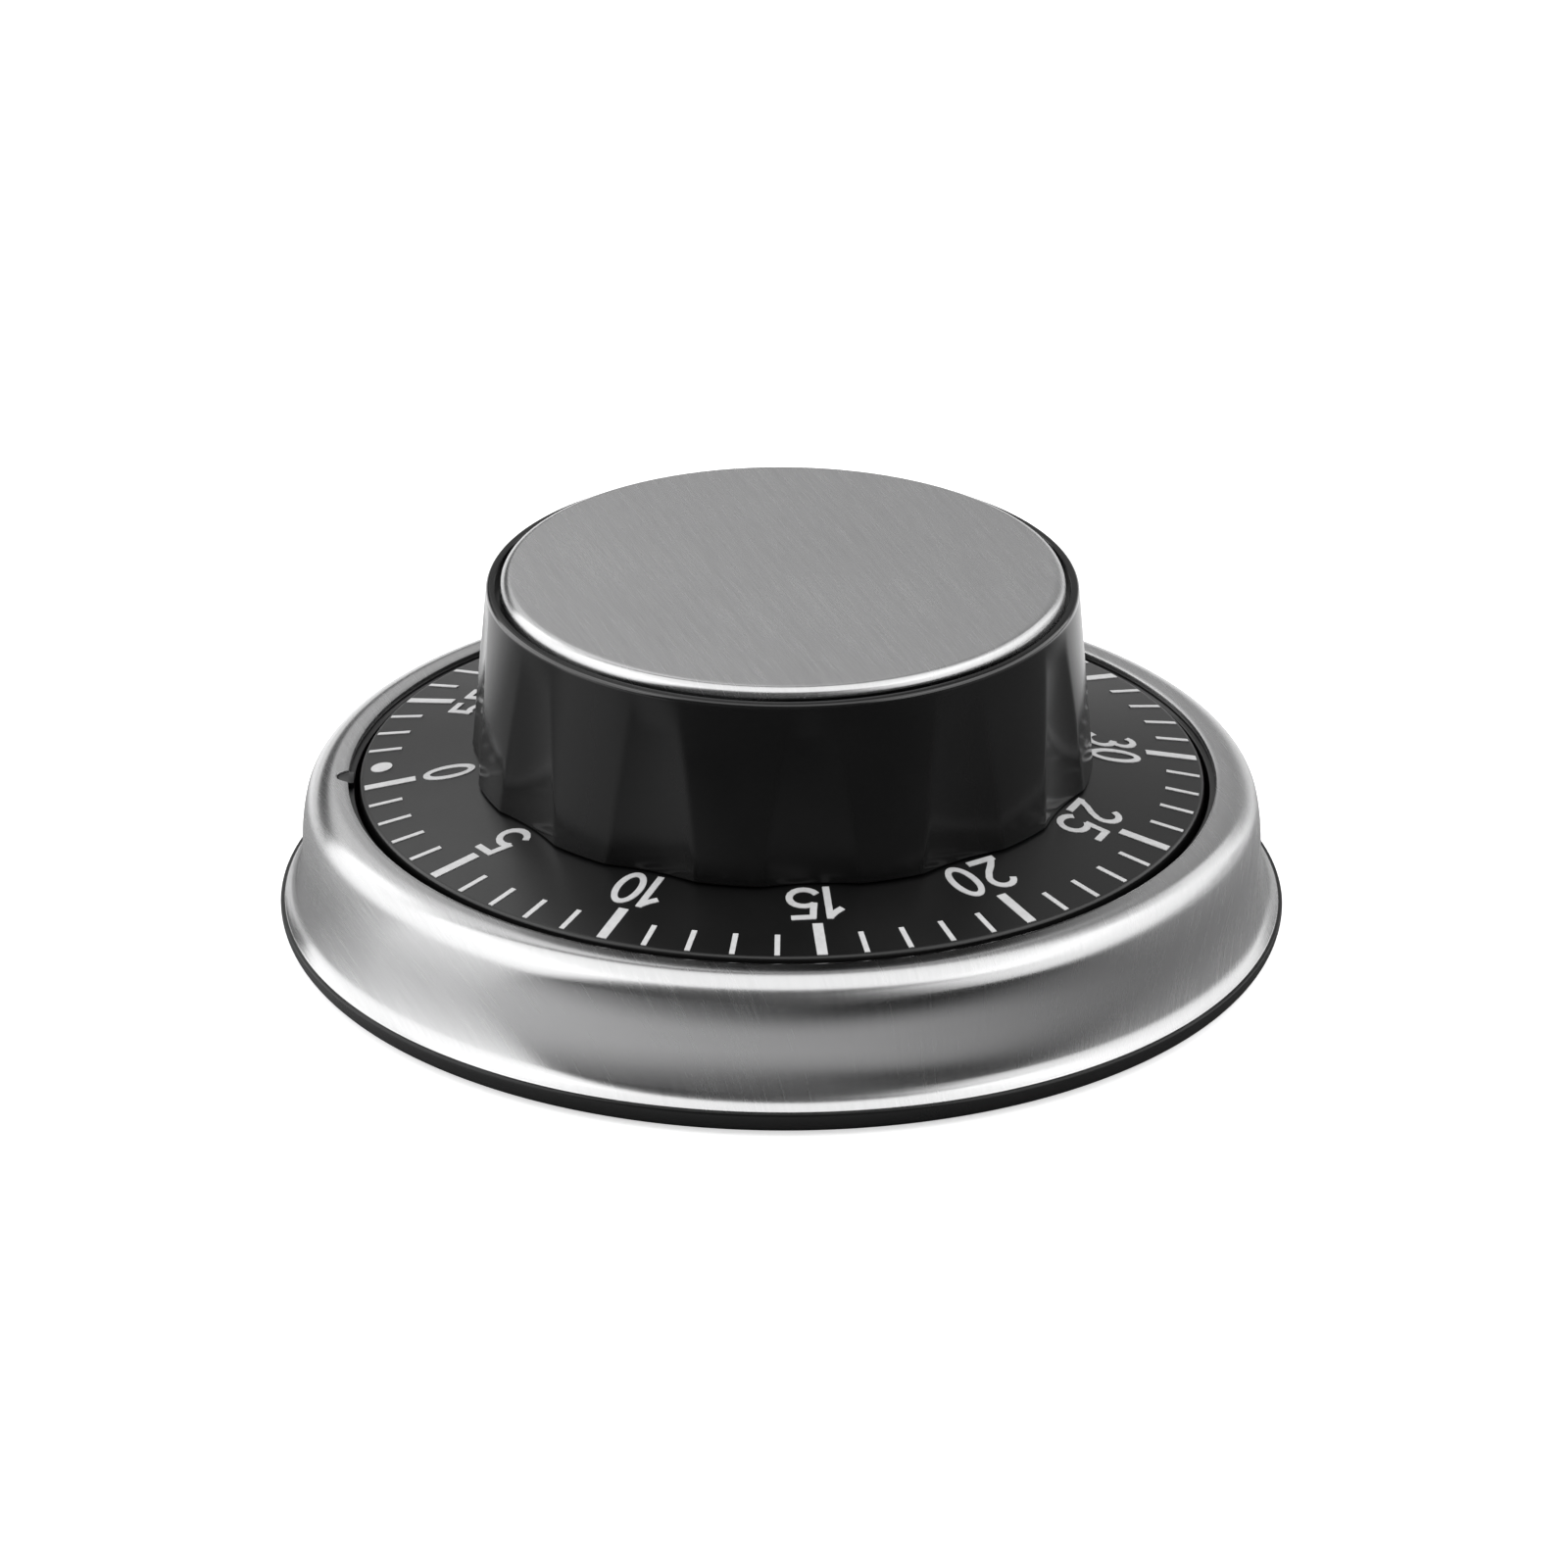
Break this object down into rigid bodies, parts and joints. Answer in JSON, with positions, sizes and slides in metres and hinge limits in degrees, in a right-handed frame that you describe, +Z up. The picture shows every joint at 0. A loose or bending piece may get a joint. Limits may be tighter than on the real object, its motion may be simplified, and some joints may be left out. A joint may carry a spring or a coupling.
{
  "type": "kitchen timer",
  "caption": "Round wind-up kitchen timer with a steel bezel and cap, a fluted black knob, a black minute dial and a spring-driven bell movement.",
  "frame": {"origin": "bottom centre, on the surface the timer stands on", "axes": "+Z up along the dial's axis; the index pointer is on the -X side; minutes count counter-clockwise seen from above"},
  "size_m": [0.08, 0.08, 0.0295],
  "materials": {
    "brushed_steel": "fine straight brushing",
    "satin_black": "satin black",
    "moulded_black": "fine satin moulding",
    "rubber_black": "matt rubber",
    "gloss_black": "polished black moulding",
    "white_print": "white printing",
    "brass": "rolled brass",
    "bright_steel": "turned steel",
    "zinc_steel": "zinc-plated pressing",
    "nickel_steel": "nickel-plated pressing",
    "spring_steel": "blued spring steel"
  },
  "bodies": {
    "base": {"bezel": "brushed_steel", "index_ring": "satin_black", "base_housing": "moulded_black", "foot_ring": "rubber_black", "lower_plate": "brass", "upper_plate": "brass", "plate_pillars": "brass", "plate_screws": "bright_steel", "base_screws": "bright_steel", "spring_cup": "zinc_steel", "mainspring": "spring_steel", "spring_cover": "zinc_steel", "bell": "nickel_steel", "bell_nut": "brass", "lever_studs": "bright_steel", "lever_clips": "spring_steel", "hammer_spring": "spring_steel", "trip_spring": "spring_steel"},
    "dial": {"knob": "gloss_black", "cap": "brushed_steel", "dial": "satin_black", "dial_ticks": "white_print", "dial_numerals": "white_print", "dial_screws": "bright_steel", "knob_screw": "bright_steel", "main_arbor": "bright_steel", "main_wheel": "brass", "alarm_cam": "brass", "spring_hub": "bright_steel"},
    "second": {"second_arbor": "bright_steel", "second_wheel": "brass"},
    "third": {"third_arbor": "bright_steel", "third_wheel": "brass"},
    "escape": {"escape_arbor": "bright_steel", "escape_wheel": "brass"},
    "pallet": {"pallet_arbor": "bright_steel", "pallet_lever": "bright_steel", "pallet_pins": "bright_steel", "balance_weight": "brass"},
    "alarm": {"alarm_arbor": "bright_steel", "star_wheel": "brass"},
    "hammer": {"hammer_arm": "bright_steel", "hammer_head": "brass"},
    "trip": {"trip_lever": "bright_steel", "trip_pin": "bright_steel"}
  },
  "joints": [
    {"name": "dial_turn", "type": "hinge", "parent": "base", "child": "dial", "pos_m": [0, 0, 0], "axis": [0, 0, 1], "range_deg": [-351, 0]},
    {"name": "second_turn", "type": "hinge", "parent": "base", "child": "second", "pos_m": [0.0175, 0, 0], "axis": [0, 0, 1], "range_deg": [0, 2106]},
    {"name": "third_turn", "type": "hinge", "parent": "base", "child": "third", "pos_m": [0.01438, 0.01241, 0], "axis": [0, 0, 1], "range_deg": [-14742, 0]},
    {"name": "escape_turn", "type": "hinge", "parent": "base", "child": "escape", "pos_m": [0.00692, 0.01877, 0], "axis": [0, 0, 1], "range_deg": [0, 88452]},
    {"name": "pallet_rock", "type": "hinge", "parent": "base", "child": "pallet", "pos_m": [-0.00058, 0.01999, 0], "axis": [0, 0, 1], "range_deg": [-4, 4]},
    {"name": "alarm_turn", "type": "hinge", "parent": "base", "child": "alarm", "pos_m": [0.01438, -0.01241, 0], "axis": [0, 0, 1], "range_deg": [-14742, 0]},
    {"name": "hammer_swing", "type": "hinge", "parent": "base", "child": "hammer", "pos_m": [0, -0.0225, 0], "axis": [0, 0, 1], "range_deg": [-7, 1.5]},
    {"name": "trip_swing", "type": "hinge", "parent": "base", "child": "trip", "pos_m": [-0.0175, 0.0105, 0], "axis": [0, 0, 1], "range_deg": [-4, 0]}
  ],
  "couplings": [
    {"joint": "second_turn", "follows": "dial_turn", "ratio": -6},
    {"joint": "third_turn", "follows": "dial_turn", "ratio": 42},
    {"joint": "escape_turn", "follows": "dial_turn", "ratio": -252},
    {"joint": "alarm_turn", "follows": "dial_turn", "ratio": 42}
  ]
}
